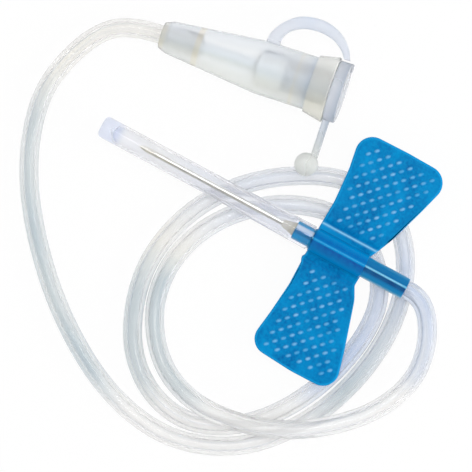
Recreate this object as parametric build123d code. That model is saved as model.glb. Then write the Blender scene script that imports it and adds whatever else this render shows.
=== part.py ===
"""Winged infusion set (butterfly needle), in millimetres.

The origin is on the needle's axis at the middle of the wing saddle. +X points to the
needle's tip, +Y to the left wing and +Z away from the skin.
"""
import os
from math import radians, sin, tan

from build123d import *

# Needle
cannula_od = 0.64
cannula_bore = 0.34
cannula_exposed = 19.05
cannula_back = -1.0
bevel_angle = 14.0
bond_length = 1.6
bond_back_diameter = 1.7
bond_front_diameter = 0.9

# Hub
hub_back = -8.6
hub_front = 6.15
hub_od = 2.6
hub_nose_diameter = 2.3
hub_nose_length = 2.2
hub_lumen = 1.1
hub_edge = 0.12
cannula_clearance = 0.02

# Sheath over the needle
sheath_rim_diameter = 3.0
sheath_tip_diameter = 2.65
sheath_bore = 2.0
sheath_socket_depth = 2.4
sheath_taper_length = 14.0
sheath_tip = 31.85
sheath_end_wall = 1.2
sheath_end_radius = 0.5
sheath_seat_gap = 0.05
sheath_clearance = 0.06

# Wing saddle
saddle_length = 6.9
saddle_width = 3.0
saddle_underside = -1.45
saddle_fillet = 0.4
hub_clearance = 0.03
land_length = 5.4
land_width = 1.6
land_height = 0.05

# Wings
wing_thickness = 0.7
crease_offset = 2.4
crease_clearance = 0.05
wing_root_front = 3.68
wing_root_back = -3.4
wing_nib = 0.2
wing_nib_length = 0.5
wing_straight_end = 6.0
wing_waist_front = 4.05
wing_waist_front_at = 9.75
wing_corner_front = 4.6
wing_corner_front_at = 14.0
wing_mid_back = -5.3
wing_mid_back_at = 7.6
wing_corner_back = -7.05
wing_corner_back_at = 14.15
wing_tip_at = 14.2
wing_front_radius = 2.0
wing_back_radius = 2.6

# Grip pips on the wings
pip_length = 0.66
pip_width = 0.38
pip_height = 0.1
pip_angle = 35.0
pip_pitch = 1.5
pip_row_pitch = 0.78
pip_first_row = 3.4
pip_first_column = -2.2
pip_rows = 14
pip_margin = 1.15

# Tubing
tube_od = 2.25
tube_sides = 8
tube_lumen_stub = 2.0
hub_stub_length = 4.0
nose_stub_length = 4.9
stub_clearance = 0.03
floor_below_axis = 3.9

# Luer connector, sizes along its own axis from the end that holds the tubing
nose_face_diameter = 3.1
nose_diameter = 3.9
nose_length = 1.0
cone_length = 11.4
barrel_diameter = 6.4
barrel_length = 6.2
rim_back_diameter = 6.8
rim_diameter = 8.0
rim_length = 2.5
luer_mouth_diameter = 4.27
luer_taper = 0.06
luer_depth = 9.0
connector_channel = 1.3

# Cap, strap and pull tab
cap_diameter = 7.25
cap_thickness = 1.4
cap_seat_gap = 0.05
plug_length = 5.9
plug_clearance = 0.06
plug_bore = 2.4
lug_width = 1.2
lug_height = 1.0
lug_stand = 0.2
strap_depth = 1.2
strap_root_at = 0.1
strap_root_width = 1.5
strap_foot_at = 0.3
strap_foot_width = 0.8
strap_width = 1.3
strap_crest = 7.45
strap_crest_at = 4.8
strap_gap = 0.02
tail_reach = 10.1
tail_thickness = 0.85
tail_depth = 1.0
knob_diameter = 2.8
knob_thickness = 1.6
knob_chamfer = 0.45
knob_reach = 9.2
knob_offset = 0.6

# The tubing's route from the hub to the connector: X, Y and height above the surface
tube_points = [
    (-8.6, 0, 3.9), (-10.45, 0, 3.9), (-12.6, 1.85, 3.6), (-14.2, 5.05, 3.0), (-14.65, 9.2, 2.4),
    (-12.7, 14.0, 2.5), (-9.05, 18.0, 3.2), (-4.2, 21.4, 3.5), (1.45, 23.3, 3.5), (7.5, 23.65, 3.0),
    (12.65, 21.4, 1.8), (16.3, 16.6, 1.13), (17.35, 11.2, 1.13), (16.05, 5.6, 1.13),
    (12.7, 0.85, 1.13), (8.15, -2.5, 1.13), (2.65, -4.15, 1.13), (-2.8, -2.65, 1.13),
    (-6.85, 2.05, 1.13), (-7.15, 8.7, 1.13), (-4.75, 16.5, 1.13), (-0.3, 22.8, 1.13),
    (5.8, 26.15, 1.13), (11.4, 25.5, 1.13), (16.1, 22.05, 1.13), (18.9, 16.3, 1.13),
    (19.7, 10.4, 1.13), (18.15, 4.1, 1.13), (14.75, -1.25, 1.13), (9.7, -5.45, 1.13),
    (3.7, -8.25, 1.13), (-2.75, -7.9, 1.13), (-7.45, -3.25, 1.13), (-9.6, 3.8, 1.13),
    (-9.0, 11.7, 1.13), (-6.1, 19.35, 1.13), (-0.65, 25.85, 1.13), (7.5, 29.05, 1.13),
    (16.35, 27.6, 1.13), (25.2, 22.4, 1.13), (32.45, 15.55, 1.13), (37.6, 8.3, 1.13),
    (40.05, 0.85, 1.13), (39.5, -4.6, 1.18), (37.45, -9.68, 1.45), (34.2, -12.14, 1.76),
    (30.75, -12.75, 2.08),
]


def turned(profile):
    """Turn a closed profile of (x, radius) points about the X axis."""
    face = make_face(Polyline(*[(x, r) for x, r in profile], close=True))
    return revolve(face, axis=Axis.X)


def rod(start, end, diameter):
    """A round rod on the X axis."""
    return turned([(start, 0), (end, 0), (end, diameter / 2), (start, diameter / 2)])


def needle_cannula():
    """Steel tube, ground to a bevel that faces up."""
    tip = hub_front + bond_length + cannula_exposed
    radius = cannula_od / 2
    tube = rod(cannula_back, tip, cannula_od) - rod(cannula_back - 1, tip + 1, cannula_bore)
    grind = Box(4 * cannula_od / sin(radians(bevel_angle)), 2 * cannula_od, 2 * cannula_od,
                align=(Align.CENTER, Align.CENTER, Align.MIN))
    return tube - Location((tip, 0, -radius)) * Rotation(0, bevel_angle, 0) * grind


def needle_bond():
    """Cone of adhesive that holds the steel tube in the hub's nose."""
    hole = cannula_od / 2 + cannula_clearance
    return turned([(hub_front, hole), (hub_front, bond_back_diameter / 2),
                   (hub_front + bond_length, bond_front_diameter / 2),
                   (hub_front + bond_length, hole)])


def needle_hub():
    """Hub with a socket for the tubing behind and a nose for the sheath in front."""
    socket = tube_lumen_stub / 2 + stub_clearance
    socket_end = hub_back + hub_stub_length + stub_clearance
    hole = cannula_od / 2 + cannula_clearance
    shoulder = hub_front - hub_nose_length
    outer, nose = hub_od / 2, hub_nose_diameter / 2
    return turned([(hub_back, socket), (hub_back, outer - hub_edge), (hub_back + hub_edge, outer),
                   (shoulder - hub_edge, outer), (shoulder, outer - hub_edge), (shoulder, nose),
                   (hub_front - hub_edge, nose), (hub_front, nose - hub_edge), (hub_front, hole),
                   (cannula_back - cannula_clearance, hole),
                   (cannula_back - cannula_clearance, hub_lumen / 2),
                   (socket_end, hub_lumen / 2), (socket_end, socket)])


def needle_sheath():
    """Closed sheath, pushed over the hub's nose up to its shoulder."""
    rim = hub_front - hub_nose_length + sheath_seat_gap
    socket = hub_nose_diameter / 2 + sheath_clearance
    bore = sheath_bore / 2
    bottom = sheath_tip - sheath_end_wall
    with BuildSketch() as section:
        with BuildLine():
            Polyline((rim, socket), (rim, sheath_rim_diameter / 2),
                     (rim + sheath_taper_length, sheath_tip_diameter / 2),
                     (sheath_tip, sheath_tip_diameter / 2), (sheath_tip, 0), (bottom, 0),
                     (bottom, bore), (rim + sheath_socket_depth + bore, bore),
                     (rim + sheath_socket_depth, socket), close=True)
        make_face()
        corner = section.vertices().sort_by(lambda v: v.X + v.Y)[-1]
        fillet(corner, sheath_end_radius)
    return revolve(section.sketch, axis=Axis.X)


def wing_saddle():
    """Moulded bridge that grips the hub and carries both wings."""
    top = saddle_underside + wing_thickness
    radius = saddle_width / 2
    crease = (crease_offset, saddle_underside + wing_thickness / 2)
    groove = wing_thickness / 2 + crease_clearance
    with BuildSketch(Plane.YZ) as section:
        Circle(radius)
        with Locations((0, saddle_underside)):
            Rectangle(saddle_width, -saddle_underside, align=(Align.CENTER, Align.MIN))
            Rectangle(2 * crease_offset, wing_thickness, align=(Align.CENTER, Align.MIN))
        inner = section.vertices().filter_by(
            lambda v: abs(abs(v.Y) - radius) < 0.01 and abs(v.Z - top) < 0.01)
        fillet(inner, saddle_fillet)
        Circle(hub_od / 2 + hub_clearance, mode=Mode.SUBTRACT)
        with Locations((0, saddle_underside)):
            Rectangle(saddle_width, radius, align=(Align.CENTER, Align.MAX), mode=Mode.SUBTRACT)
        for side in (1, -1):
            with Locations((side * crease[0], crease[1])):
                Circle(groove, mode=Mode.SUBTRACT)
                Rectangle(2 * groove, wing_thickness, align=(Align.CENTER, Align.MIN),
                          mode=Mode.SUBTRACT)
    bridge = extrude(section.sketch, amount=saddle_length / 2, both=True)
    land = Box(land_length, land_width, 2 * land_height)
    return bridge + Location((0, 0, saddle_underside)) * land


def wing_outline():
    """Plan of the left wing, with its inner edge inside the crease and a nib in front."""
    inner = crease_offset - wing_thickness / 2
    nib = wing_root_front + wing_nib
    with BuildSketch() as plan:
        with BuildLine():
            Polyline((wing_root_back, crease_offset), (wing_root_back, inner), (nib, inner),
                     (nib, crease_offset), (wing_root_front, crease_offset + wing_nib_length),
                     (wing_root_front, wing_straight_end))
            ThreePointArc((wing_root_front, wing_straight_end),
                          (wing_waist_front, wing_waist_front_at),
                          (wing_corner_front, wing_corner_front_at))
            ThreePointArc((wing_corner_front, wing_corner_front_at), (0, wing_tip_at),
                          (wing_corner_back, wing_corner_back_at))
            ThreePointArc((wing_corner_back, wing_corner_back_at),
                          (wing_mid_back, wing_mid_back_at), (wing_root_back, crease_offset))
        make_face()
        fillet(plan.vertices().sort_by(Axis.X)[-1], wing_front_radius)
        fillet(plan.vertices().sort_by(Axis.X)[0], wing_back_radius)
    return plan.sketch


def pip_places(plan):
    """Staggered grid of pip centres that keep clear of the wing's edge."""
    field = offset(plan, amount=-pip_margin)
    face = field.faces()[0]
    places = []
    for row in range(pip_rows):
        y = pip_first_row + row * pip_row_pitch
        shift = (row % 2) * pip_pitch / 2
        for column in range(-4, 6):
            x = pip_first_column + column * pip_pitch - shift
            if face.is_inside((x, y, 0)):
                places.append((x, y))
    return places


def wing_left():
    """Thin flexible wing with a round inner edge at the crease and pips on top."""
    plan = wing_outline()
    with BuildSketch(Plane.YZ) as section:
        with Locations((crease_offset, saddle_underside + wing_thickness / 2)):
            Circle(wing_thickness / 2)
            Rectangle(2 * wing_tip_at, wing_thickness, align=(Align.MIN, Align.CENTER))
    reach = wing_corner_front - wing_corner_back
    slab = extrude(section.sketch, amount=reach, both=True)
    outline = extrude(Location((0, 0, saddle_underside)) * plan, amount=wing_thickness)
    top = saddle_underside + wing_thickness
    pip = extrude(Rectangle(pip_length, pip_width), amount=pip_height)
    pips = [Location((x, y, top)) * Rotation(0, 0, pip_angle) * pip for x, y in pip_places(plan)]
    return (slab & outline) + pips


def tube_radii(points):
    """Each corner's radius: 0.45 of its shorter run over the tangent of half its turn."""
    radii = []
    for before, corner, after in zip(points, points[1:], points[2:]):
        turn = (corner - before).get_angle(after - corner)
        run = min((corner - before).length, (after - corner).length)
        radii.append(0.45 * run / tan(radians(turn / 2)))
    return radii


def tube_route():
    """The route's points in the object's own frame."""
    return [Vector(x, y, height - floor_below_axis) for x, y, height in tube_points]


def tubing():
    """Limp clear tubing, many-sided where it is free and round where it is held."""
    points = tube_route()
    radii = tube_radii(points)
    path = FilletPolyline(*points, radius=radii)
    section = Plane(origin=path @ 0, z_dir=path % 0) * RegularPolygon(tube_od / 2, tube_sides)
    free = sweep(section, path=path)
    print("tube length %.1f, volume over section %.1f" % (path.length, free.volume / section.area))
    print("tube radii", ", ".join("%.1f" % r for r in radii))
    neck = Location(Plane(origin=points[0], z_dir=points[0] - points[1])) * Cylinder(
        tube_lumen_stub / 2, hub_stub_length, align=(Align.CENTER, Align.CENTER, Align.MIN))
    end = Location(Plane(origin=points[-1], z_dir=points[-1] - points[-2])) * Cylinder(
        tube_od / 2, nose_stub_length, align=(Align.CENTER, Align.CENTER, Align.MIN))
    return free + neck + end


def connector_frame():
    """Frame on the connector: X along its axis to the mouth, Z up."""
    points = tube_route()
    axis = (points[-1] - points[-2]).normalized()
    across = Vector(-axis.Y, axis.X, 0).normalized()
    return Location(Plane(origin=points[-1], x_dir=axis, z_dir=axis.cross(across)))


def connector_mouth():
    """Distance of the mouth from the nose."""
    return nose_length + cone_length + barrel_length + rim_length


def luer_radius(depth):
    """Radius of the tapered socket at a depth from the mouth."""
    return (luer_mouth_diameter - luer_taper * depth) / 2


def connector_outline():
    """Outer profile of the connector as (x, radius) points."""
    cone_end = nose_length + cone_length
    rim_back = cone_end + barrel_length
    return [(0, nose_face_diameter / 2), (nose_length, nose_diameter / 2),
            (cone_end, barrel_diameter / 2),
            (rim_back, barrel_diameter / 2), (rim_back, rim_back_diameter / 2),
            (connector_mouth(), rim_diameter / 2)]


def luer_connector():
    """Female luer connector, bonded over the end of the tubing."""
    mouth = connector_mouth()
    socket = tube_od / 2 + stub_clearance
    socket_end = nose_stub_length + stub_clearance
    channel = connector_channel / 2
    bottom = mouth - luer_depth
    profile = connector_outline() + [
        (mouth, luer_radius(0)), (bottom, luer_radius(luer_depth)), (bottom, channel),
        (socket_end, channel), (socket_end, socket), (0, socket)]
    return connector_frame() * turned(profile)


def luer_cap():
    """Disc with a tapered plug, a lug for the strap and a tail with a pull knob."""
    face = connector_mouth() + cap_seat_gap
    back = face + cap_thickness
    end = face - plug_length
    plug = [(end, luer_radius(plug_length) - plug_clearance),
            (face, luer_radius(0) - plug_clearance)]
    disc = turned([(end, plug_bore / 2), *plug, (face, cap_diameter / 2), (back, cap_diameter / 2),
                   (back, 0), (face, 0), (face, plug_bore / 2)])
    low = (Align.MIN, Align.MAX, Align.CENTER)
    lug = Location((face, cap_diameter / 2, 0)) * Box(
        cap_thickness + lug_stand, lug_height, lug_width, align=low)
    inset = cap_diameter / 4
    tail = Location((face, -inset, 0)) * Box(tail_thickness, tail_reach - inset, tail_depth, align=low)
    knob = Cylinder(knob_diameter / 2, knob_thickness)
    knob = chamfer(knob.edges().filter_by(GeomType.CIRCLE), knob_chamfer)
    middle = face + tail_thickness / 2
    knob = Location((middle - knob_offset, -knob_reach, 0)) * knob
    return connector_frame() * (disc + lug + tail + knob)


def strap_edge(root, crest, foot):
    """One edge of the strap: up from the barrel, over its crest and down to the cap."""
    return Spline(root, crest, foot, tangents=((0.12, 1), (0.3, -1)))


def cap_strap():
    """Flat strap that ties the cap to the connector's barrel, thinner towards the cap."""
    root = nose_length + cone_length + strap_root_at
    foot = connector_mouth() + cap_seat_gap + strap_foot_at
    seat, edge = barrel_diameter / 2, cap_diameter / 2 + strap_gap
    crest = nose_length + cone_length + strap_crest_at
    with BuildSketch() as outline:
        with BuildLine():
            outer = strap_edge((root, seat), (crest, strap_crest), (foot + strap_foot_width, edge))
            inner = strap_edge((root + strap_root_width, seat), (crest, strap_crest - strap_width),
                               (foot, edge))
            Line(outer @ 0, inner @ 0)
            Line(outer @ 1, inner @ 1)
        make_face()
    strap = extrude(outline.sketch, amount=strap_depth / 2, both=True)
    barrel = [(x, r + strap_gap) for x, r in connector_outline()]
    return connector_frame() * (strap - turned([(0, 0), *barrel, (barrel[-1][0], 0)]))


def build_parts():
    left = wing_left()
    return {
        "needle_cannula": needle_cannula(),
        "needle_bond": needle_bond(),
        "needle_hub": needle_hub(),
        "needle_sheath": needle_sheath(),
        "wing_saddle": wing_saddle(),
        "wing_left": left,
        "wing_right": mirror(left, about=Plane.XZ),
        "tubing": tubing(),
        "luer_connector": luer_connector(),
        "luer_cap": luer_cap(),
        "cap_strap": cap_strap(),
    }


os.makedirs("parts", exist_ok=True)
for name, shape in build_parts().items():
    export_step(shape, "parts/%s.step" % name)
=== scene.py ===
from math import cos, exp, pi, radians, sin, sqrt, tan

import bmesh
import bpy
import numpy as np
from mathutils import Matrix, Vector


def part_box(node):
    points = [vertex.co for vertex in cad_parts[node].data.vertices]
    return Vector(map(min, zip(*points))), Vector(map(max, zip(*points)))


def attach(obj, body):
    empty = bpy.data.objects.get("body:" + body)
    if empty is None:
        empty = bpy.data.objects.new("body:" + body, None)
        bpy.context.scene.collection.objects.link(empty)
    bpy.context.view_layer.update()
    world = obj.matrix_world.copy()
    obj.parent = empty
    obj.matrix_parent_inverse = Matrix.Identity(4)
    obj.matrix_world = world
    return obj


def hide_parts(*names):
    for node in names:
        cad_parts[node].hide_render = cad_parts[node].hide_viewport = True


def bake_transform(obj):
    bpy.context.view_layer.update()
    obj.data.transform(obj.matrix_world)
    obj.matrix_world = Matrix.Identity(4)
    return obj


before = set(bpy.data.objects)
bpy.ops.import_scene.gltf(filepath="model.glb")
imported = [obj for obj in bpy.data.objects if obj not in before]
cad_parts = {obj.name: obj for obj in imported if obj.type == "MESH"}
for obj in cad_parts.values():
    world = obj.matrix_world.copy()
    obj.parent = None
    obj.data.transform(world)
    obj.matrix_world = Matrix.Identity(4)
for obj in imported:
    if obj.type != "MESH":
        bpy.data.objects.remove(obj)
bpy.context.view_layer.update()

mm = 0.001  # every size below is in millimetres, as the parts are drawn


def boxOf(node):
    low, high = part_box(node)
    return low / mm, high / mm


hubLow, hubHigh = boxOf("needle_hub")
sheathLow, sheathHigh = boxOf("needle_sheath")
needleLow, needleHigh = boxOf("needle_cannula")
floorHeight = -3.9  # the surface that the set lies on


# Camera: straight above the needle, turned as the picture is
cameraSet = {"middle": (11.84, 3.97), "right": (-0.8805, -0.474), "width": 55.53,
             "lens": 300, "sensor": 36, "plane": -1.5, "clip": (20, 20000)}


def placeCamera(s):
    right = Vector((*s["right"], 0)).normalized()
    up = Vector((0, 0, 1)).cross(right)
    distance = s["width"] * s["lens"] / s["sensor"]
    lens = bpy.data.cameras.new("pictureCamera")
    lens.lens, lens.sensor_width = s["lens"], s["sensor"]
    lens.clip_start, lens.clip_end = [reach * mm for reach in s["clip"]]
    camera = bpy.data.objects.new("pictureCamera", lens)
    turn = Matrix((right, up, (0, 0, 1))).transposed().to_4x4()
    camera.matrix_world = Matrix.Translation(Vector((*s["middle"], s["plane"] + distance)) * mm) @ turn
    bpy.context.scene.collection.objects.link(camera)
    bpy.context.scene.camera = camera


placeCamera(cameraSet)
print("camera placed")


# Node helpers
noiseRange = (0.3, 0.7)  # most of the noise lies between these


def newMaterial(name, **sockets):
    material = bpy.data.materials.new(name)
    material.use_nodes = True
    tree = material.node_tree
    shader = tree.nodes["Principled BSDF"]
    for label, value in sockets.items():
        shader.inputs[label.replace("_", " ")].default_value = value
    return material, tree, shader


def placeAlong(tree, axis, kind="Object"):  # where each point lies along one axis
    place = tree.nodes.new("ShaderNodeTexCoord")
    split = tree.nodes.new("ShaderNodeSeparateXYZ")
    tree.links.new(place.outputs[kind], split.inputs[0])
    return split.outputs[axis]


def storedValue(tree, name):
    mark = tree.nodes.new("ShaderNodeAttribute")
    mark.attribute_name = name
    return mark.outputs["Fac"]


def stepValue(tree, value, start, end, low=0.0, high=1.0, course="SMOOTHSTEP"):  # low up to start
    step = tree.nodes.new("ShaderNodeMapRange")
    step.interpolation_type = course
    for label, number in (("From Min", start), ("From Max", end), ("To Min", low), ("To Max", high)):
        step.inputs[label].default_value = number
    tree.links.new(value, step.inputs["Value"])
    return step.outputs["Result"]


def noiseValue(tree, scale, low, high, detail=3.0, stretch=(1, 1, 1), attribute=None):
    place = tree.nodes.new("ShaderNodeAttribute" if attribute else "ShaderNodeTexCoord")
    if attribute:
        place.attribute_name = attribute
    scaling = tree.nodes.new("ShaderNodeMapping")
    scaling.inputs["Scale"].default_value = [scale * s for s in stretch]
    noise = tree.nodes.new("ShaderNodeTexNoise")
    noise.inputs["Scale"].default_value = 1.0
    noise.inputs["Detail"].default_value = detail
    tree.links.new(place.outputs["Vector" if attribute else "Object"], scaling.inputs["Vector"])
    tree.links.new(scaling.outputs["Vector"], noise.inputs["Vector"])
    return stepValue(tree, noise.outputs["Fac"], *noiseRange, low, high, "LINEAR")


def mixColour(tree, factor, one, two):  # one at factor 0, two at 1; each a colour or a socket
    mix = tree.nodes.new("ShaderNodeMix")
    mix.data_type = "RGBA"
    for socket, value in ((mix.inputs["Factor"], factor), (mix.inputs[6], one), (mix.inputs[7], two)):
        if isinstance(value, bpy.types.NodeSocket):
            tree.links.new(value, socket)
        else:
            socket.default_value = value
    return mix.outputs[2]


def tintBands(tree, stops, attribute=None):  # tints at places across the needle, or by a stored place
    low, high = stops[0][0], stops[-1][0]
    if attribute:
        share = stepValue(tree, storedValue(tree, attribute), low, high, course="LINEAR")
    else:
        share = stepValue(tree, placeAlong(tree, "Y"), low * mm, high * mm, course="LINEAR")
    ramp = tree.nodes.new("ShaderNodeValToRGB")
    tree.links.new(share, ramp.inputs["Fac"])
    points = ramp.color_ramp.elements
    while len(points) < len(stops):
        points.new(1)
    for point, (at, colour) in zip(points, stops):
        point.position = (at - low) / (high - low)
        point.color = (*colour, 1)
    return ramp.outputs["Color"]


def setFinish(tree, shader, tint, roughness):
    tree.links.new(tint, shader.inputs["Base Color"])
    tree.links.new(roughness, shader.inputs["Roughness"])


def addBump(tree, shader, height, strength, distance):
    bump = tree.nodes.new("ShaderNodeBump")
    bump.inputs["Strength"].default_value = strength
    bump.inputs["Distance"].default_value = distance * mm
    tree.links.new(height, bump.inputs["Height"])
    tree.links.new(bump.outputs["Normal"], shader.inputs["Normal"])


def storePlace(piece, name, values):  # one number at each point of the mesh
    piece.data.attributes.new(name, "FLOAT", "POINT").data.foreach_set("value", list(values))


# Mesh helpers
longestRounding = 0.49  # share of a side that the rounding of one corner may take


def makeMesh(name, points, faces, material, sharpAngle=32):
    mesh = bpy.data.meshes.new(name)
    mesh.from_pydata([Vector(p) * mm for p in points], [], faces)
    mesh.materials.append(material)
    work = bmesh.new()
    work.from_mesh(mesh)
    bmesh.ops.remove_doubles(work, verts=work.verts, dist=1e-8)
    bmesh.ops.recalc_face_normals(work, faces=work.faces)
    work.to_mesh(mesh)
    work.free()
    mesh.shade_smooth()
    mesh.set_sharp_from_angle(angle=radians(sharpAngle))
    piece = bpy.data.objects.new(name, mesh)
    bpy.context.scene.collection.objects.link(piece)
    return piece


def softOutline(corners, steps=5):  # closed outline of (x, y, rounding) corners
    points = []
    for i, (x, y, rounding) in enumerate(corners):
        here = Vector((x, y))
        back = Vector(corners[i - 1][:2]) - here
        ahead = Vector(corners[(i + 1) % len(corners)][:2]) - here
        if not rounding:
            points.append(here)
            continue
        halfAngle = back.angle(ahead) / 2
        reach = min(rounding / tan(halfAngle), longestRounding * min(back.length, ahead.length))
        start, end = here + back.normalized() * reach, here + ahead.normalized() * reach
        for k in range(steps + 1):
            t = k / steps
            a, b, c = (1 - t) ** 2, 2 * t * (1 - t) * sin(halfAngle), t * t  # weights of a round arc
            points.append((a * start + b * here + c * end) / (a + b + c))
    return points


def turned(name, corners, sides, material, place=Matrix.Identity(4)):  # an outline turned about the X axis
    points, rings, faces = [], [], []
    for x, radius in softOutline(corners):
        count = sides if radius > 1e-6 else 1
        rings.append(range(len(points), len(points) + count))
        for k in range(count):
            angle = 2 * pi * k / sides
            points.append(place @ Vector((x, radius * cos(angle), radius * sin(angle))))
    for one, two in zip(rings, rings[1:] + rings[:1]):
        for k in range(sides):
            n = (k + 1) % sides
            if len(one) > 1 and len(two) > 1:
                faces.append((one[k], two[k], two[n], one[n]))
            elif len(two) > 1:
                faces.append((one[0], two[k], two[n]))
            elif len(one) > 1:
                faces.append((one[k], two[0], one[n]))
    return makeMesh(name, points, faces, material)


def ringFaces(pairs):  # four-sided faces between the two rings of each pair
    faces = []
    for one, two in pairs:
        faces += np.stack([one, np.roll(one, -1), np.roll(two, -1), two], 1).tolist()
    return faces


def evenPoints(line, count):  # points evenly spaced along a flat line, both of its ends included
    gone = np.concatenate([[0], np.cumsum(np.hypot(*np.diff(line, axis=0).T))])
    at = np.linspace(0, gone[-1], count + 1)
    return np.stack([np.interp(at, gone, line[:, 0]), np.interp(at, gone, line[:, 1])], 1)


def settle(piece, body, slotName, *nodes):
    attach(piece, body)
    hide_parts(*nodes)


# Floor, light and white surroundings
studio = {"floorSize": 1500, "floorGlow": 0.95, "floorPaint": 0.95, "skyLight": 0.66,
          "skyWhite": 1.0, "skySide": (0.50, 0.54, 0.60, 1), "sideEdge": (0.0, 0.45),
          "keyPlace": (0, -100, 600), "keySize": (420, 70), "keyPower": 1.0,
          "fillPlace": (-420, -60, 240), "fillSize": (220, 220), "fillPower": 0.7}


def whiteRays(tree):  # 1 for what the camera, gloss and clear plastic see
    path = tree.nodes.new("ShaderNodeLightPath")
    total = path.outputs["Is Camera Ray"]
    for label in ("Is Glossy Ray", "Is Transmission Ray"):
        add = tree.nodes.new("ShaderNodeMath")
        add.operation, add.use_clamp = "ADD", True
        tree.links.new(total, add.inputs[0])
        tree.links.new(path.outputs[label], add.inputs[1])
        total = add.outputs[0]
    return total


def greyTone(value):
    return value, value, value, 1


def buildFloor(s):  # white paper, which glows where the camera, gloss or clear plastic sees it
    half = s["floorSize"] / 2
    corners = [(-half, -half), (half, -half), (half, half), (-half, half)]
    material, tree = newMaterial("floorPaper")[:2]
    floor = makeMesh("floor", [(x, y, floorHeight) for x, y in corners], [(0, 1, 2, 3)], material)
    paint = tree.nodes.new("ShaderNodeBsdfDiffuse")
    paint.inputs["Color"].default_value = greyTone(s["floorPaint"])
    glow = tree.nodes.new("ShaderNodeEmission")
    mix = tree.nodes.new("ShaderNodeMixShader")
    share = tree.nodes.new("ShaderNodeMath")
    share.operation = "MULTIPLY"
    share.inputs[1].default_value = s["floorGlow"]
    tree.links.new(whiteRays(tree), share.inputs[0])
    tree.links.new(share.outputs[0], mix.inputs["Fac"])
    tree.links.new(paint.outputs[0], mix.inputs[1])
    tree.links.new(glow.outputs[0], mix.inputs[2])
    tree.links.new(mix.outputs[0], tree.nodes["Material Output"].inputs["Surface"])


def buildSky(s):  # white above and grey at the sides, for gloss and clear plastic
    world = bpy.data.worlds.new("studioWorld")
    world.use_nodes = True
    tree = world.node_tree
    rise = stepValue(tree, placeAlong(tree, "Z", "Generated"), *s["sideEdge"])
    seen = mixColour(tree, rise, s["skySide"], greyTone(s["skyWhite"]))
    path = tree.nodes.new("ShaderNodeLightPath")
    seen = mixColour(tree, path.outputs["Is Camera Ray"], seen, greyTone(1))
    colour = mixColour(tree, whiteRays(tree), greyTone(s["skyLight"]), seen)
    tree.links.new(colour, tree.nodes["Background"].inputs["Color"])
    bpy.context.scene.world = world


def buildLamps(s):
    middle = Vector((*cameraSet["middle"], 0))
    for name in ("key", "fill"):
        lamp = bpy.data.lights.new(name + "Light", "AREA")
        lamp.shape = "RECTANGLE"
        lamp.size, lamp.size_y = [side * mm for side in s[name + "Size"]]
        lamp.energy = s[name + "Power"]
        piece = bpy.data.objects.new(name + "Light", lamp)
        spot = middle + Vector(s[name + "Place"])
        aim = (spot - middle).to_track_quat("Z", "Y").to_matrix().to_4x4()
        piece.matrix_world = Matrix.Translation(spot * mm) @ aim
        bpy.context.scene.collection.objects.link(piece)


buildFloor(studio)
buildSky(studio)
buildLamps(studio)
bpy.context.scene.view_settings.view_transform = "Standard"
print("studio lit")


# Tubing: one limp clear tube, smooth through the points of its route
tubeRoute = [  # x, y and height above the floor
    (-8.6, 0, 3.9), (-10.45, 0, 3.9), (-12.6, 1.85, 3.6), (-14.2, 5.05, 3.0), (-14.65, 9.2, 2.4),
    (-12.7, 14.0, 2.5), (-9.05, 18.0, 3.2), (-4.2, 21.4, 3.5), (1.45, 23.3, 3.5), (7.5, 23.65, 3.0),
    (12.65, 21.4, 1.8), (16.3, 16.6, 1.13), (17.35, 11.2, 1.13), (16.05, 5.6, 1.13),
    (12.7, 0.85, 1.13), (8.15, -2.5, 1.13), (2.65, -4.15, 1.13), (-2.8, -2.65, 1.13),
    (-6.85, 2.05, 1.13), (-7.15, 8.7, 1.13), (-4.75, 16.5, 1.13), (-0.3, 22.8, 1.13),
    (5.8, 26.15, 1.13), (11.4, 25.5, 1.13), (16.1, 22.05, 1.13), (18.9, 16.3, 1.13),
    (19.7, 10.4, 1.13), (18.15, 4.1, 1.13), (14.75, -1.25, 1.13), (9.7, -5.45, 1.13),
    (3.7, -8.25, 1.13), (-2.75, -7.9, 1.13), (-7.45, -3.25, 1.13), (-9.6, 3.8, 1.13),
    (-9.0, 11.7, 1.13), (-6.1, 19.35, 1.13), (-0.65, 25.85, 1.13), (7.5, 29.05, 1.13),
    (16.35, 27.6, 1.13), (25.2, 22.4, 1.13), (32.45, 15.55, 1.13), (37.6, 8.3, 1.13),
    (40.05, 0.85, 1.13), (39.5, -4.6, 1.18), (37.45, -9.68, 1.45), (34.2, -12.14, 1.76),
    (30.75, -12.75, 2.08)]
tubeSet = {"outer": 2.25, "lumen": 1.15, "neck": 2.0, "inHub": 4.0, "inConnector": 4.9,
           "neckFlare": 0.6, "sides": 80, "smoothness": 12}


def routePoints(s):  # the route's own smooth line, read from a plain curve
    curve = bpy.data.curves.new("tubeRoute", "CURVE")
    curve.dimensions = "3D"
    spline = curve.splines.new("NURBS")
    spline.points.add(len(tubeRoute) - 1)
    for point, (x, y, height) in zip(spline.points, tubeRoute):
        point.co = (x * mm, y * mm, (height + floorHeight) * mm, 1)
    spline.order_u = 3
    spline.use_endpoint_u = True
    spline.resolution_u = s["smoothness"]
    holder = bpy.data.objects.new("tubeRoute", curve)
    line = bpy.data.meshes.new_from_object(holder)
    points = [v.co / mm for v in line.vertices]
    bpy.data.objects.remove(holder)
    return points


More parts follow.
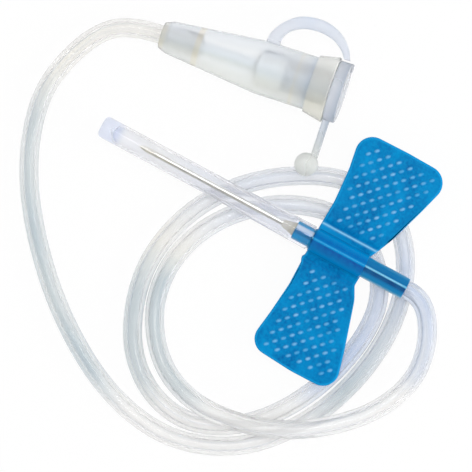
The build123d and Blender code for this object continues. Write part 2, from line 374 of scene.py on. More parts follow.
def sweepTube(name, line, radii, lumen, sides, material):
    ahead = (line[1] - line[0]).normalized()
    across = ahead.orthogonal().normalized()
    frames = []
    for i, here in enumerate(line):
        step = (line[min(i + 1, len(line) - 1)] - line[max(i - 1, 0)]).normalized()
        across = (across - step * across.dot(step)).normalized()
        frames.append((here, across.copy(), step.cross(across)))
    points, rings = [], []
    for shell in (radii, lumen):
        for (here, one, two), radius in zip(frames, shell):
            rings.append(range(len(points), len(points) + sides))
            points += [here + (one * cos(a) + two * sin(a)) * radius
                       for a in (2 * pi * k / sides for k in range(sides))]
    outside, inside = rings[:len(line)], rings[len(line):]
    pairs = [*zip(outside, outside[1:]), *zip(inside[1:], inside)]
    pairs += [(inside[0], outside[0]), (outside[-1], inside[-1])]
    return makeMesh(name, points, ringFaces(pairs), material)


def clearTubePlastic():  # soft clear plastic, milky, with painted light and shade in runs along the tube and faint painted light and dark lines along it
    material, tree, shader = newMaterial("clearTubePlastic", Transmission_Weight=0.78, IOR=1.34)
    white, grey, blue = (1.0, 1.0, 1.0), (0.74, 0.80, 0.83), (0.75, 0.82, 0.95)
    cream, pale = (1.0, 0.99, 0.96), (0.91, 0.94, 1.0)
    # painted light and shade: stretches of the tube are painted paler, greyer, bluer or cream by how far
    # along the tube they lie
    runs = tintBands(tree, [(4, blue), (15, blue), (18, white), (42, white), (46, grey), (60, grey),
                            (64, cream), (74, pale), (86, pale), (92, blue), (107, blue), (112, white),
                            (129, white), (133, grey), (143, grey), (150, cream), (162, pale), (178, pale),
                            (188, blue), (204, grey), (210, white), (233, white), (239, grey), (270, grey),
                            (277, cream), (296, white)], "along")
    tint = mixColour(tree, noiseValue(tree, 42, -0.2, 0.5, 1), runs, (1.0, 0.98, 0.94, 1))
    # painted light and dark lines along the tube, standing in for the lines that light draws through its
    # lumen
    paintedLightLines = noiseValue(tree, 1.7, -0.6, 0.9, 2, (1, 1, 0.02), "drawn")
    paintedDarkLines = noiseValue(tree, 2.3, -1.2, 0.5, 2, (1, 1, 0.015), "drawn")
    tint = mixColour(tree, paintedLightLines, tint, (1.0, 1.0, 1.0, 1))
    tint = mixColour(tree, paintedDarkLines, tint, (0.56, 0.64, 0.77, 1))
    setFinish(tree, shader, tint, noiseValue(tree, 60, 0.14, 0.19, 1))
    return material


def markTube(tube, line, sides):  # each point's place round and along the tube, and its millimetres along
    gone = np.concatenate([[0], np.cumsum([(b - a).length for a, b in zip(line, line[1:])])])
    turn = np.linspace(0, 2 * pi, sides, endpoint=False)
    one = np.stack([np.tile(np.cos(turn), len(line)), np.tile(np.sin(turn), len(line)),
                    np.repeat(gone / tubeSet["outer"], sides)], 1)
    both = np.concatenate([one, one * (0.5, 0.5, 1)]).astype(np.float32)  # the outside, then the lumen
    tube.data.attributes.new("drawn", "FLOAT_VECTOR", "POINT").data.foreach_set("vector", both.ravel())
    storePlace(tube, "along", np.tile(np.repeat(gone, sides), 2))


def buildTubing(s):
    line = routePoints(s)
    start, end = line[0], line[-1]
    back = (start - line[1]).normalized()
    on = (end - line[-2]).normalized()
    inHub = [start + back * s["inHub"] * (1 - k / 8) for k in range(8)]
    inConnector = [end + on * s["inConnector"] * (k + 1) / 8 for k in range(8)]
    line = inHub + line + inConnector
    radii, travelled = [], 0.0
    for before, here in zip([line[0]] + line, line):
        travelled += (here - before).length
        flare = min(max((travelled - s["inHub"]) / s["neckFlare"], 0), 1)
        radii.append((s["neck"] + (s["outer"] - s["neck"]) * flare) / 2)
    lumen = [s["lumen"] / 2] * len(line)
    tube = sweepTube("clearTubing", line, radii, lumen, s["sides"], clearTubePlastic())
    markTube(tube, line, s["sides"])
    settle(tube, "root", "tubing", "tubing")
    return tube, [p * mm for p in line], travelled * mm


tube, tubeLine, tubeLength = buildTubing(tubeSet)
print("tubing %.4f m long" % tubeLength)


# Wings and saddle: one soft blue moulding with two creases, built flat
wingSet = {"top": -0.75, "bottom": -1.45, "edge": 0.2, "edgeSteps": 3, "across": 132, "along": 168,
           "crease": 2.4, "creaseWidth": 0.34, "creaseDepth": {1: 0.1, -1: 0.2}, "creaseBelow": 0.5,
           "saddleSide": 1.5, "rootFillet": 0.42, "filletEnd": 0.98, "foldStart": 1.95, "foldEnd": 2.85,
           "pipHeight": 0.11, "pipLength": 0.76, "pipWidth": 0.43, "pipFlank": 1.7, "pipRound": 0.8,
           "pipPitch": 1.467, "rowPitch": 0.772, "pipStart": (-0.95, 3.4), "pipRows": 18, "pipColumns": 5,
           "pipMargin": 1.0, "pipClear": 0.05, "rimGlow": 0.1, "paintedCreaseHighlight": {"at": -2.24, "width": 0.12},
           "gridRoundings": (1.95, 2.6, 3.0, 3.1)}  # corners with these roundings are the grid's corners
leftOutline = [  # front root, out along the front edge, round the tip and back
    (3.66, 1.3, 0), (3.7, 2.0, 0.1), (3.9, 2.32, 0.15), (3.86, 2.62, 0.15), (3.69, 3.0, 0.2),
    (3.67, 6.0, 6), (4.05, 9.75, 9), (4.7, 14.45, 1.95), (-1.3, 14.9, 12), (-7.1, 14.85, 3.1),
    (-5.8, 9.9, 14), (-4.0, 4.0, 5), (-3.2, 2.5, 0.7), (-3.25, 1.3, 0)]
rightOutline = [  # the same way round, drawn on the left as well
    (3.74, 1.3, 0), (3.7, 2.6, 3), (3.6, 5.2, 5), (3.88, 9.3, 9), (4.7, 14.08, 2.6), (-1.4, 14.2, 12),
    (-7.5, 14.05, 3.0), (-6.0, 8.8, 14), (-4.6, 4.4, 9), (-3.7, 2.3, 1.0), (-3.1, 1.3, 0)]


def splitOutline(outline, corners, counts):  # a chain of even steps for each count, from corner to corner
    outline = [Vector(p) for p in outline]
    marks = [min(range(len(outline)), key=lambda i: (outline[i] - Vector(c)).length) for c in corners]
    chains = []
    for start, end, count in zip(marks, marks[1:] + marks[:1], counts):
        run = outline[start:end + 1] if end > start else outline[start:] + outline[:end + 1]
        chains.append(evenPoints(np.array([tuple(p) for p in run]), count))
    return chains


def loopNormals(loop):  # outward normals of a closed loop that runs anticlockwise
    ahead, behind = np.roll(loop, -1, 0), np.roll(loop, 1, 0)
    step = ahead - behind
    step /= np.hypot(step[:, 0], step[:, 1])[:, None]
    return np.stack([step[:, 1], -step[:, 0]], 1)


def coonsGrid(front, tip, rear, root):  # front and rear run outwards, root and tip run rearwards
    u = np.linspace(0, 1, len(root))[:, None, None]
    v = np.linspace(0, 1, len(front))[None, :, None]
    edges = (1 - u) * front[None] + u * rear[None] + (1 - v) * root[:, None] + v * tip[:, None]
    corners = ((1 - u) * (1 - v) * front[0] + (1 - u) * v * front[-1]
               + u * (1 - v) * rear[0] + u * v * rear[-1])
    return edges - corners


def pipCentres(s, loop):
    places = []
    for row in range(s["pipRows"]):
        for column in range(-s["pipColumns"], s["pipColumns"] + 1):
            x = s["pipStart"][0] + s["pipPitch"] * (column + 0.5 * (row % 2))
            y = s["pipStart"][1] + s["rowPitch"] * row
            gap = np.hypot(loop[:, 0] - x, loop[:, 1] - y)
            nearest = loop[gap.argmin()] - (x, y)
            inside = loopNormals(loop)[gap.argmin()] @ nearest > 0
            if inside and gap.min() > s["pipMargin"]:
                places.append((x, y))
    return places


def pipHeights(x, y, side, s, loop):  # 0 on the flat and 1 on top of a pip; the pips lie slanted
    heights = np.zeros(x.shape)
    for px, py in pipCentres(s, loop):
        along = ((x - px) + side * (y - py)) / sqrt(2) / (s["pipLength"] / 2)
        over = ((x - px) - side * (y - py)) / sqrt(2) / (s["pipWidth"] / 2)
        near = np.clip(1 - np.sqrt(along ** 2 + over ** 2), 0, 1)
        heights = np.maximum(heights, np.clip(near * s["pipFlank"], 0, 1) ** s["pipRound"])
    return heights


def wingMesh(name, outline, side, s, material):
    dense = softOutline(outline, 10)
    counts = (s["along"], s["across"], s["along"], s["across"])
    gridCorners = [c[:2] for c in outline if c[2] in s["gridRoundings"]]
    chains = splitOutline(dense, [outline[0][:2], *gridCorners, outline[-1][:2]], counts)
    loop = np.concatenate([chain[:-1] for chain in chains])
    normals = loopNormals(loop)
    inset = loop - normals * s["edge"]
    cut = np.cumsum([0, *counts])
    inner = np.concatenate([inset, inset[:1]])
    front, tip, rear, root = [inner[a:b + 1] for a, b in zip(cut, cut[1:])]
    grid = coonsGrid(front, tip, rear[::-1], root[::-1])
    x, y = grid[..., 0], grid[..., 1]

    def surface(x, y, upper):  # height of a face, with its crease and the fillet beside the saddle
        groove = np.exp(-((y - s["crease"]) / s["creaseWidth"]) ** 2)
        if not upper:
            return s["bottom"] + s["creaseBelow"] * s["creaseDepth"][side] * groove
        near = np.clip(s["saddleSide"] + s["rootFillet"] - y, 0, s["rootFillet"] * s["filletEnd"])
        fillet = s["rootFillet"] - np.sqrt(s["rootFillet"] ** 2 - near ** 2)
        return s["top"] - s["creaseDepth"][side] * groove + fillet

    upper = surface(x, y, True) + pipHeights(x, y, side, s, loop) * s["pipHeight"]
    lower = surface(x, y, False)
    nu, nv = x.shape
    points = [(a, b * side, c) for a, b, c in zip(x.ravel(), y.ravel(), upper.ravel())]
    points += [(a, b * side, c) for a, b, c in zip(x.ravel(), y.ravel(), lower.ravel())]
    number = np.arange(nu * nv).reshape(nu, nv)
    cells = np.stack([number[:-1, :-1], number[1:, :-1], number[1:, 1:], number[:-1, 1:]], -1)
    cells = cells.reshape(-1, 4)
    faces = cells.tolist() + (cells[:, ::-1] + nu * nv).tolist()

    rim = np.concatenate([number[0, :-1], number[:-1, -1], number[-1, :0:-1], number[:0:-1, 0]])
    rings = [rim]
    steps = s["edgeSteps"]
    zTop, zLow = [surface(inset[:, 0], inset[:, 1], upper) for upper in (True, False)]
    rounds = [(pi / 2 * (1 - k / steps), zTop - s["edge"]) for k in range(1, steps + 1)]
    rounds += [(-pi / 2 * k / steps, zLow + s["edge"]) for k in range(steps + 1)]
    for angle, middle in rounds:
        out = inset + normals * s["edge"] * cos(angle)
        rings.append(np.arange(len(points), len(points) + len(rim)))
        points += [(a, b * side, c) for (a, b), c in zip(out, middle + s["edge"] * sin(angle))]
    rings.append(rim + nu * nv)
    faces += ringFaces(zip(rings, rings[1:]))
    piece = makeMesh(name, points, faces, material, sharpAngle=60)
    places = np.array([(v.co.x / mm, v.co.y * side / mm) for v in piece.data.vertices])
    gap = np.array([np.hypot(*(loop - place).T).min() for place in places])
    # painted highlight: how strongly each point near the rounded rim is painted paler
    storePlace(piece, "rim", np.clip(1 - (gap - s["edge"]) / s["rimGlow"], 0, 1))
    return piece


def wingPlastic():
    material, tree, shader = newMaterial("blueWingPlastic", IOR=1.5, Specular_IOR_Level=0.03)
    cloud = mixColour(tree, noiseValue(tree, 380, 0, 1, 4), (0.0, 0.11, 0.35, 1), (0.0, 0.24, 0.57, 1))
    tint = mixColour(tree, noiseValue(tree, 3200, 0, 0.45, 3), cloud, (0.0, 0.34, 0.68, 1))
    # painted highlight: the pips' tops are painted paler, by how far up a pip each point lies
    paintedPipHighlight = mixColour(tree, noiseValue(tree, 620, 0, 1, 2), (0.04, 0.33, 0.65, 1), (0.22, 0.51, 0.81, 1))
    # painted highlight: the band along the rim is painted paler
    for label, colour in (("rim", (0.005, 0.30, 0.66, 1)), ("pip", paintedPipHighlight),
                          # painted highlight: a pale line along the upper wing's crease
                          ("paintedCreaseHighlight", (0.26, 0.60, 0.86, 1))):
        tint = mixColour(tree, storedValue(tree, label), tint, colour)
    setFinish(tree, shader, tint, noiseValue(tree, 900, 0.28, 0.44))
    addBump(tree, shader, noiseValue(tree, 2600, 0, 1, 4), 0.35, 0.03)
    return material


def saddlePlastic():  # the same blue, polished, with painted light across it: a painted highlight line along its top and painted shade bands beside it
    material, tree, shader = newMaterial("blueSaddlePlastic", IOR=1.5, Specular_IOR_Level=0.07)
    # painted highlight and shade across the saddle, set by the place across the needle
    paintedHighlightAndShade = tintBands(tree, [(-1.5, (0.0, 0.19, 0.50)), (-1.15, (0.0, 0.25, 0.60)),
                            (-0.55, (0.0, 0.12, 0.42)), (-0.3, (0.0, 0.15, 0.46)),
                            (-0.14, (0.01, 0.33, 0.70)), (0.0, (0.0, 0.26, 0.60)),
                            (0.16, (0.006, 0.075, 0.32)), (0.75, (0.004, 0.13, 0.40)),
                            (1.35, (0.0, 0.25, 0.60)), (1.6, (0.0, 0.17, 0.46))])
    tint = mixColour(tree, noiseValue(tree, 1400, 0, 0.3), paintedHighlightAndShade, (0.0, 0.26, 0.60, 1))
    setFinish(tree, shader, tint, noiseValue(tree, 500, 0.12, 0.22))
    addBump(tree, shader, noiseValue(tree, 1800, 0, 1, 3), 0.15, 0.02)
    return material


def markWing(piece, s):  # how far up a pip each point is, and how strong the painted highlight along the upper crease is there
    places = [v.co.copy() for v in piece.data.vertices]
    flat, rise = s["top"] * mm, s["pipHeight"] * mm
    near = (s["saddleSide"] + s["rootFillet"] + s["pipClear"]) * mm
    heights = [max(0.0, min(1.0, (p.z - flat) / rise)) if abs(p.y) > near else 0.0 for p in places]
    storePlace(piece, "pip", heights)
    # painted highlight: a pale line along the upper wing's crease
    fold = s["paintedCreaseHighlight"]
    storePlace(piece, "paintedCreaseHighlight", [exp(-((p.y / mm - fold["at"]) / fold["width"]) ** 2) for p in places])


def buildWings(s):
    material = wingPlastic()
    for name, node, outline, side in (("lowerWing", "wing_left", leftOutline, 1),
                                      ("upperWing", "wing_right", rightOutline, -1)):
        piece = wingMesh(name, outline, side, s, material)
        markWing(piece, s)
        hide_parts(node)
        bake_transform(piece)
        print("%s has %d faces" % (name, len(piece.data.polygons)))


buildWings(wingSet)

saddleSet = {"front": 3.76, "back": -3.12, "radius": 1.5, "bore": 1.33, "bottom": -1.45, "edge": 0.14,
             "edgeSteps": 4, "archEnd": 20, "skirt": -0.6, "skirtRound": 0.1, "footRound": 0.12,
             "around": 96}


def buildSaddle(s):
    low, half = s["bottom"], s["radius"]
    turns = [radians(d) for d in range(-s["archEnd"], 181 + s["archEnd"], 5)]
    outline = [(half * cos(a), half * sin(a), 0) for a in turns]
    outline += [(-half, s["skirt"], s["skirtRound"]), (-half, low, s["footRound"]),
                (half, low, s["footRound"]), (half, s["skirt"], s["skirtRound"])]
    loop = np.array([tuple(p) for p in softOutline(outline, 4)])
    loop = evenPoints(np.concatenate([loop, loop[:1]]), s["around"])[:-1]
    normals = loopNormals(loop)
    angles = np.arctan2(loop[:, 1], loop[:, 0])
    bore = np.stack([np.cos(angles), np.sin(angles)], 1) * s["bore"]
    steps = s["edgeSteps"]
    ends = [(s["back"] + s["edge"] * (1 - cos(a)), s["edge"] * (1 - sin(a)))
            for a in (pi / 2 * k / steps for k in range(steps + 1))]
    both = s["front"] + s["back"]
    stations = ends + [(both - x, inset) for x, inset in reversed(ends)]
    points, rings = [], []
    for x, section in [(x, loop - normals * inset) for x, inset in stations] + \
                      [(x, bore) for x in (s["front"], s["back"])]:
        rings.append(np.arange(len(points), len(points) + len(loop)))
        points += [(x, a, b) for a, b in section]
    faces = ringFaces(zip(rings, rings[1:] + rings[:1]))
    saddle = makeMesh("wingSaddle", points, faces, saddlePlastic(), sharpAngle=50)
    settle(saddle, "root", "wings", "wing_saddle")


buildSaddle(saddleSet)
print("wings and saddle built")


# Needle, adhesive, hub and sheath, all turned about the needle's axis
needleSet = {"outer": 0.64, "bore": 0.34, "bevel": 14, "sides": 40}


def steel():
    material, tree, shader = newMaterial("needleSteel", Metallic=1.0)
    # painted light across the needle: its upper side is painted bright as a painted highlight and its
    # lower side dark olive as painted shade
    ground = tintBands(tree, [(-0.32, (0.80, 0.78, 0.68)), (-0.2, (1, 0.98, 0.90)),
                              (0.02, (0.98, 0.95, 0.84)), (0.1, (0.26, 0.24, 0.14)),
                              (0.32, (0.40, 0.38, 0.28))])
    tint = mixColour(tree, noiseValue(tree, 300, 0, 0.3, 2, (0.05, 1, 1)), ground, (0.60, 0.58, 0.50, 1))
    setFinish(tree, shader, tint, noiseValue(tree, 2500, 0.16, 0.3, 2, (0.03, 1, 1)))
    addBump(tree, shader, noiseValue(tree, 3000, 0, 1, 2, (0.02, 1, 1)), 0.2, 0.01)
    return material


def buildNeedle(s):
    outer, bore, n = s["outer"] / 2, s["bore"] / 2, s["sides"]
    points = []
    for radius, atTip in ((outer, False), (outer, True), (bore, True), (bore, False)):
        for k in range(n):
            y, z = radius * cos(2 * pi * k / n), radius * sin(2 * pi * k / n)
            ground = needleHigh.x - (z + outer) / tan(radians(s["bevel"]))
            points.append((ground if atTip else needleLow.x, y, z))
    rings = [range(r * n, (r + 1) * n) for r in range(4)]
    faces = ringFaces(zip(rings, rings[1:] + rings[:1]))
    needle = makeMesh("needleTube", points, faces, steel(), sharpAngle=25)
    settle(needle, "root", "cannula", "needle_cannula")


buildNeedle(needleSet)

bondSet = {"length": 1.6, "back": 1.7, "front": 0.9, "hole": 0.34, "bulgePlace": 0.35, "bulge": 0.8,
           "sides": 56}


def adhesive():
    material, tree, shader = newMaterial("creamAdhesive", IOR=1.5, Transmission_Weight=0.35)
    tint = mixColour(tree, noiseValue(tree, 900, 0, 1), (0.80, 0.74, 0.55, 1), (0.90, 0.87, 0.74, 1))
    setFinish(tree, shader, tint, noiseValue(tree, 700, 0.12, 0.3))
    addBump(tree, shader, noiseValue(tree, 1600, 0, 1), 0.3, 0.04)
    return material


def buildBond(s):
    back, front = hubHigh.x, hubHigh.x + s["length"]
    corners = [(back, s["hole"], 0), (back, s["back"] / 2, 0.1),
               (back + s["bulgePlace"] * s["length"], s["back"] / 2 * s["bulge"], 0.5),
               (front, s["front"] / 2, 0.15), (front, s["hole"], 0.03)]
    bond = turned("needleAdhesive", corners, s["sides"], adhesive())
    settle(bond, "root", "bond", "needle_bond")


buildBond(bondSet)

hubSet = {"outer": 2.6, "nose": 2.3, "noseLength": 2.2, "edge": 0.14, "socket": 2.06, "socketDepth": 4.05,
          "lumen": 1.1, "needleHole": 0.68, "holeEnd": -1.02, "fade": 0.1, "sides": 80}


def hubPlastic():
    material, tree, shader = newMaterial("clearBluePlastic", IOR=1.26, Transmission_Weight=0.2)
    # painted light across the hub: a painted highlight line near the top, a painted dark shade band below
    # it and a paler painted highlight at the lower edge
    body = tintBands(tree, [(-1.2, (0.03, 0.33, 0.62)), (-0.9, (0.0, 0.20, 0.50)),
                            (-0.3, (0.0, 0.16, 0.42)), (-0.18, (0.20, 0.66, 0.93)),
                            (-0.08, (0.16, 0.60, 0.88)), (0.05, (0.002, 0.06, 0.22)),
                            (0.4, (0.002, 0.07, 0.25)), (0.65, (0.0, 0.22, 0.54)),
                            (1.0, (0.01, 0.30, 0.62)), (1.15, (0.14, 0.50, 0.78)),
                            (1.28, (0.5, 0.80, 0.93))])
    # painted light across the nose: a painted white highlight band, which stands for the sheath's
    # reflection, with painted shade below it
    nose = tintBands(tree, [(-1.15, (0.02, 0.34, 0.72)), (-0.78, (0.05, 0.44, 0.80)),
                            (-0.6, (0.80, 0.90, 1.0)), (-0.25, (0.76, 0.88, 1.0)),
                            (-0.1, (0.0, 0.20, 0.46)), (0.2, (0.0, 0.17, 0.40)),
                            (0.42, (0.0, 0.34, 0.70)), (0.85, (0.0, 0.38, 0.74)),
                            (1.15, (0.3, 0.64, 0.88))])
    shoulder = (hubHigh.x - hubSet["noseLength"]) * mm
    onNose = stepValue(tree, placeAlong(tree, "X"), shoulder - hubSet["fade"] * mm, shoulder)
    tint = mixColour(tree, onNose, body, nose)
    tint = mixColour(tree, noiseValue(tree, 700, 0, 0.25), tint, (0.0, 0.26, 0.58, 1))
    # painted reflection: the hub is painted paler where its surface turns away from view
    slant = tree.nodes.new("ShaderNodeLayerWeight")
    slant.inputs["Blend"].default_value = 0.25
    edge = stepValue(tree, slant.outputs["Facing"], 0.4, 0.75)
    tint = mixColour(tree, edge, tint, (0.40, 0.76, 0.94, 1))
    setFinish(tree, shader, tint, noiseValue(tree, 300, 0.04, 0.1))
    addBump(tree, shader, noiseValue(tree, 500, 0, 1), 0.1, 0.02)
    return material


def buildHub(s):
    back, front = hubLow.x, hubHigh.x
    shoulder, bottom = front - s["noseLength"], back + s["socketDepth"]
    corners = [(back, s["socket"] / 2, 0.08), (back, s["outer"] / 2, s["edge"]),
               (shoulder, s["outer"] / 2, s["edge"]), (shoulder, s["nose"] / 2, 0.05),
               (front, s["nose"] / 2, 0.16), (front, s["needleHole"] / 2, 0.03),
               (s["holeEnd"], s["needleHole"] / 2, 0), (s["holeEnd"], s["lumen"] / 2, 0),
               (bottom, s["lumen"] / 2, 0.05), (bottom, s["socket"] / 2, 0)]
    hub = turned("needleHub", corners, s["sides"], hubPlastic())
    settle(hub, "root", "hub", "needle_hub")


buildHub(hubSet)

sheathSet = {"rim": 3.0, "tip": 2.65, "taper": 14, "socket": 2.42, "socketDepth": 2.4, "socketCone": 1,
             "bore": 2.0, "endWall": 1.2, "endCone": 0.9, "endRound": 0.55, "rimEdge": 0.12,
             "milkStart": 0.9, "endTint": (3.2, 1.6), "sides": 128}


def sheathPlastic():
    material, tree, shader = newMaterial("milkySheathPlastic", IOR=1.27)
    milkStart = hubHigh.x + sheathSet["milkStart"]
    milk = stepValue(tree, placeAlong(tree, "X"), hubHigh.x * mm, milkStart * mm, 1.0, 0.85)
    tree.links.new(milk, shader.inputs["Transmission Weight"])
    tint = mixColour(tree, noiseValue(tree, 60, 0, 1, 2), (0.92, 0.94, 1.0, 1), (0.97, 0.97, 0.98, 1))
    tintStart, tintEnd = [(sheathHigh.x - back) * mm for back in sheathSet["endTint"]]
    tint = mixColour(tree, stepValue(tree, placeAlong(tree, "X"), tintStart, tintEnd), tint,
                     (0.80, 0.84, 0.95, 1))
    setFinish(tree, shader, tint, noiseValue(tree, 90, 0.05, 0.08, 1))
    return material


def buildSheath(s):
    rim, end = sheathLow.x, sheathHigh.x
    bottom, step = end - s["endWall"], rim + s["socketDepth"]
    corners = [(rim, s["socket"] / 2, 0.05), (rim, s["rim"] / 2, s["rimEdge"]),
               (rim + s["taper"], s["tip"] / 2, 3), (end, s["tip"] / 2, s["endRound"]), (end, 0, 0),
               (bottom, 0, 0), (bottom - s["endCone"], s["bore"] / 2, 1.2),
               (step + s["socketCone"], s["bore"] / 2, 0.3), (step, s["socket"] / 2, 0.2)]
    sheath = turned("needleSheath", corners, s["sides"], sheathPlastic())
    settle(sheath, "sheath", "sheath", "needle_sheath")


buildSheath(sheathSet)
print("needle, hub and sheath built")


# Connector, cap and strap, placed on the last run of the tubing
routeEnd = [Vector((x, y, height + floorHeight)) for x, y, height in tubeRoute[-2:]]
connectorAxis = (routeEnd[1] - routeEnd[0]).normalized()
connectorSide = Vector((-connectorAxis.y, connectorAxis.x, 0)).normalized()
connectorUp = connectorAxis.cross(connectorSide)
connectorPlace = Matrix((connectorAxis, connectorSide, connectorUp)).transposed().to_4x4()
connectorPlace.translation = routeEnd[1]
connectorSet = {"nose": 3.1, "neck": 3.9, "noseLength": 1.0, "coneEnd": 12.4, "barrel": 6.4,
                "rimBack": 18.6, "rimStep": 0.05, "rimRoot": 6.8, "rim": 8.0, "mouth": 21.1,
                "luer": 4.27, "luerTaper": 0.06, "luerDepth": 9.0, "luerCone": 0.6, "channel": 1.3,
                "socket": 2.31, "socketDepth": 4.93, "socketCone": 0.4, "sides": 96}


def storeAlong(piece):  # how far along the connector each point lies, and on which side of it
    back = connectorPlace.inverted()
    places = [back @ (v.co / mm) for v in piece.data.vertices]
    storePlace(piece, "along", (p.x for p in places))
    storePlace(piece, "around", (p.y / max(p.yz.length, 0.01) for p in places))


def connectorPlastic():
    material, tree, shader = newMaterial("frostedConnectorPlastic", IOR=1.3, Transmission_Weight=0.7)
    blue, cream, rim = (0.93, 0.96, 1.0), (1.0, 0.97, 0.88), (1.0, 0.98, 0.90)
    # the darker band just before the rim's step is painted shade
    bands = tintBands(tree, [(0, cream), (0.5, cream), (0.8, blue), (4.2, blue),
                             (4.4, (1.0, 0.92, 0.76)), (4.9, (1.0, 0.94, 0.80)), (5.1, blue), (16.5, blue),
                             (16.8, (1, 0.95, 0.84)), (17.2, (0.96, 0.98, 1.0)), (18.1, (0.86, 0.92, 1.0)),
                             (18.5, (0.68, 0.75, 0.88)), (18.8, rim), (21.1, rim)], "along")
    tint = mixColour(tree, noiseValue(tree, 150, 0, 0.5, 2), bands, (0.97, 0.98, 0.95, 1))
    # painted light by the side each point faces: painted shade towards both sides, a painted dark streak
    # near the top and a painted highlight band beside it, with cream on one flank
    sides = tintBands(tree, [(-1, (0.82, 0.82, 0.70)), (-0.85, (0.97, 0.96, 0.82)),
                             (-0.5, (0.96, 0.97, 0.88)), (-0.2, (0.78, 0.85, 0.88)),
                             (0.1, (0.88, 0.93, 0.97)), (0.4, (1, 1, 1)),
                             (0.75, (0.88, 0.92, 1.0)), (1, (0.66, 0.74, 0.82))], "around")
    tint = mixColour(tree, noiseValue(tree, 60, 0.2, 0.45, 1), tint, sides)
    setFinish(tree, shader, tint, noiseValue(tree, 90, 0.16, 0.26, 1))
    return material


def buildConnector(s):
    luerEnd = s["mouth"] - s["luerDepth"]
    luerBottom = s["luer"] - s["luerTaper"] * s["luerDepth"]
    corners = [(0, s["nose"] / 2, 0.15), (s["noseLength"], s["neck"] / 2, 0.4),
               (s["coneEnd"], s["barrel"] / 2, 2.5), (s["rimBack"], s["barrel"] / 2, 0.05),
               (s["rimBack"], s["rimRoot"] / 2 + s["rimStep"], 0.05), (s["mouth"], s["rim"] / 2, 0.18),
               (s["mouth"], s["luer"] / 2, 0.15), (luerEnd, luerBottom / 2, 0.6),
               (luerEnd - s["luerCone"], s["channel"] / 2, 0.5),
               (s["socketDepth"] + s["socketCone"], s["channel"] / 2, 0.4),
               (s["socketDepth"], s["socket"] / 2, 0.05), (0, s["socket"] / 2, 0.08)]
    connector = turned("luerConnector", corners, s["sides"], connectorPlastic(), connectorPlace)
    storeAlong(connector)
    settle(connector, "root", "connector", "luer_connector")
    return connector


connector = buildConnector(connectorSet)

capSet = {"gap": 0.05, "disc": 7.25, "thickness": 1.4, "edge": 0.14, "plug": 5.9, "plugPlay": 0.06,
          "plugBore": 2.4, "sides": 96, "lugWidth": 1.2, "lugHeight": 1.0, "lugStand": 0.2,
          "lugRound": 0.12, "tailReach": 10.1, "tailDepth": 1.0, "tailRoot": 1.8, "tailThickness": 0.85,
          "tailRound": 0.22, "knob": 2.8, "knobThickness": 1.6, "knobShoulder": 0.4, "knobReach": 9.2,
          "knobOffset": 0.6, "knobSides": 56, "sharpAngle": 35, "creamReach": 0.56,
          "duskStart": 0.3, "duskDepth": 0.05, "paintedSideShade": 0.6, "tailDusk": 1.0}


def capPlastic():
    material, tree, shader = newMaterial("capPlastic", IOR=1.32, Transmission_Weight=0.6)
    tint = mixColour(tree, noiseValue(tree, 140, 0, 1, 2), (0.72, 0.79, 0.91, 1), (0.87, 0.88, 0.91, 1))
    # painted shade on the disc's side, and the tail's darker tint
    tint = mixColour(tree, storedValue(tree, "sideShadeAndTailTint"), tint, (0.30, 0.38, 0.48, 1))
    tint = mixColour(tree, storedValue(tree, "cream"), tint, (0.80, 0.82, 0.80, 1))
    setFinish(tree, shader, tint, noiseValue(tree, 120, 0.2, 0.32, 1))
    return material


def softBlock(name, low, high, rounding, material, place):  # a block with rounded edges
    work = bmesh.new()
    bmesh.ops.create_cube(work, size=1)
    size, middle = Vector(high) - Vector(low), (Vector(high) + Vector(low)) / 2
    for v in work.verts:
        v.co = Vector([a * b for a, b in zip(v.co, size)]) + middle
    bmesh.ops.bevel(work, geom=work.edges[:], offset=rounding, segments=4, profile=0.5, affect="EDGES")
    points = [place @ v.co for v in work.verts]
    faces = [[v.index for v in f.verts] for f in work.faces]
    work.free()
    return makeMesh(name, points, faces, material, sharpAngle=40)


def joinSolids(pieces):  # one closed skin round all the pieces
    first = pieces[0]
    for other in pieces[1:]:
        union = first.modifiers.new("union", "BOOLEAN")
        union.operation, union.object, union.solver = "UNION", other, "MANIFOLD"
        bpy.context.view_layer.update()
        solid = bpy.data.meshes.new_from_object(first.evaluated_get(bpy.context.evaluated_depsgraph_get()))
        first.modifiers.clear()
        first.data = solid
        bpy.data.objects.remove(other)
    return first


def markCap(cap, s, face, knobPlace):  # the knob is creamy, the disc's side is painted darker as painted shade, and the tail is darker still
    reach, edge = s["knob"] * s["creamReach"], s["disc"] / 2
    toKnob, toCap = knobPlace.inverted(), connectorPlace.inverted()
    places = [v.co / mm for v in cap.data.vertices]
    cream = [1.0 if (toKnob @ p).length < reach else 0.0 for p in places]
    sideShadeAndTailTint = []
    for p in [toCap @ p for p in places]:
        # the disc's side gets painted shade; the tail gets its darker tint
        onSide = p.x > face + s["duskStart"] and p.yz.length > edge - s["duskDepth"] and p.y > -edge
        sideShadeAndTailTint.append(s["paintedSideShade"] if onSide else s["tailDusk"] if p.y < -edge else 0.0)
    storePlace(cap, "cream", cream)
    storePlace(cap, "sideShadeAndTailTint", sideShadeAndTailTint)


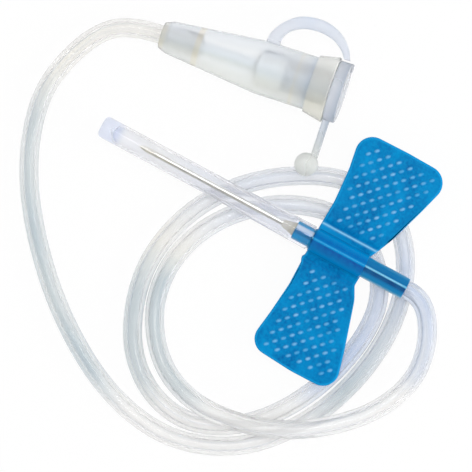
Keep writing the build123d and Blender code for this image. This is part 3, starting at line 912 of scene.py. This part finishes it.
def buildCap(s):
    material = capPlastic()
    c = connectorSet
    face = c["mouth"] + s["gap"]
    back, end = face + s["thickness"], face - s["plug"]
    wide = c["luer"] / 2 - s["plugPlay"]
    narrow = wide - c["luerTaper"] * s["plug"] / 2
    edge = s["disc"] / 2
    disc = turned("luerCap", [(end, s["plugBore"] / 2, 0.1), (end, narrow, 0.12), (face, wide, 0.1),
                              (face, edge, s["edge"]), (back, edge, s["edge"] * 1.5),
                              (back, 0, 0), (face, 0, 0), (face, s["plugBore"] / 2, 0.2)],
                  s["sides"], material, connectorPlace)
    lug = softBlock("capLug", (face, edge - s["lugHeight"], -s["lugWidth"] / 2),
                    (back + s["lugStand"], edge, s["lugWidth"] / 2),
                    s["lugRound"], material, connectorPlace)
    tailFace = face + s["tailThickness"]
    tail = softBlock("capTail", (face, -s["tailReach"], -s["tailDepth"] / 2),
                     (tailFace, -s["tailRoot"], s["tailDepth"] / 2),
                     s["tailRound"], material, connectorPlace)
    half = s["knobThickness"] / 2
    knobMiddle = (face + s["tailThickness"] / 2 - s["knobOffset"], -s["knobReach"], 0)
    knobPlace = connectorPlace @ Matrix.Translation(knobMiddle) @ Matrix.Rotation(-pi / 2, 4, "Y")
    knob = turned("capKnob", [(-half, 0, 0), (-half, s["knob"] / 2, 0.5),
                              (half * s["knobShoulder"], s["knob"] / 2, 0.7),
                              (half, s["knob"] / 4, 0.9), (half, 0, 0)],
                  s["knobSides"], material, knobPlace)
    cap = joinSolids([disc, lug, tail, knob])
    cap.data.shade_smooth()
    cap.data.set_sharp_from_angle(angle=radians(s["sharpAngle"]))
    markCap(cap, s, face, knobPlace)
    settle(cap, "cap", "cap", "luer_cap")
    return cap


cap = buildCap(capSet)

strapSet = {"outer": [(12.0, 3.1), (12.25, 4.3), (13.2, 5.75), (14.8, 7.0), (16.8, 7.45), (18.6, 7.3),
                      (20.3, 6.5), (21.5, 5.2), (22.1, 3.9)],
            "inner": [(13.6, 3.1), (13.75, 4.25), (14.4, 5.1), (15.5, 5.75), (16.9, 6.02), (18.3, 5.95),
                      (19.6, 5.55), (20.7, 4.75), (21.35, 3.9)],
            "depth": 1.2, "edge": 0.22, "steps": 8, "foldStart": 13.8, "foldEnd": 21.6}


def smoothLine(points, steps):  # Catmull-Rom line through the points
    points = [Vector(p) for p in points]
    padded = [2 * points[0] - points[1]] + points + [2 * points[-1] - points[-2]]
    line = []
    for a, b, c, d in zip(padded, padded[1:], padded[2:], padded[3:]):
        for k in range(steps):
            t = k / steps
            line.append(0.5 * (2 * b + (c - a) * t + (2 * a - 5 * b + 4 * c - d) * t ** 2
                               + (3 * b - a - 3 * c + d) * t ** 3))
    return line + [points[-1]]


def buildStrap(s, material):
    outer, inner = smoothLine(s["outer"], s["steps"]), smoothLine(s["inner"], s["steps"])
    points, rings = [], []
    for a, b in zip(outer, inner):
        half, width = s["depth"] / 2, (a - b).length / 2
        middle, out = (a + b) / 2, (a - b).normalized()
        corners = [(width, half), (-width, half), (-width, -half), (width, -half)]
        section = softOutline([(x, y, s["edge"]) for x, y in corners], 4)
        rings.append(range(len(points), len(points) + len(section)))
        for across, up in section:
            spot = middle + out * across
            points.append(connectorPlace @ Vector((spot.x, spot.y, up)))
    faces = [tuple(reversed(rings[0])), tuple(rings[-1])] + ringFaces(zip(rings, rings[1:]))
    strap = makeMesh("capStrap", points, faces, material, sharpAngle=40)
    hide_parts("cap_strap")
    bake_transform(strap)
    return strap


strap = buildStrap(strapSet, cap.data.materials[0])
print("connector, cap and strap built")
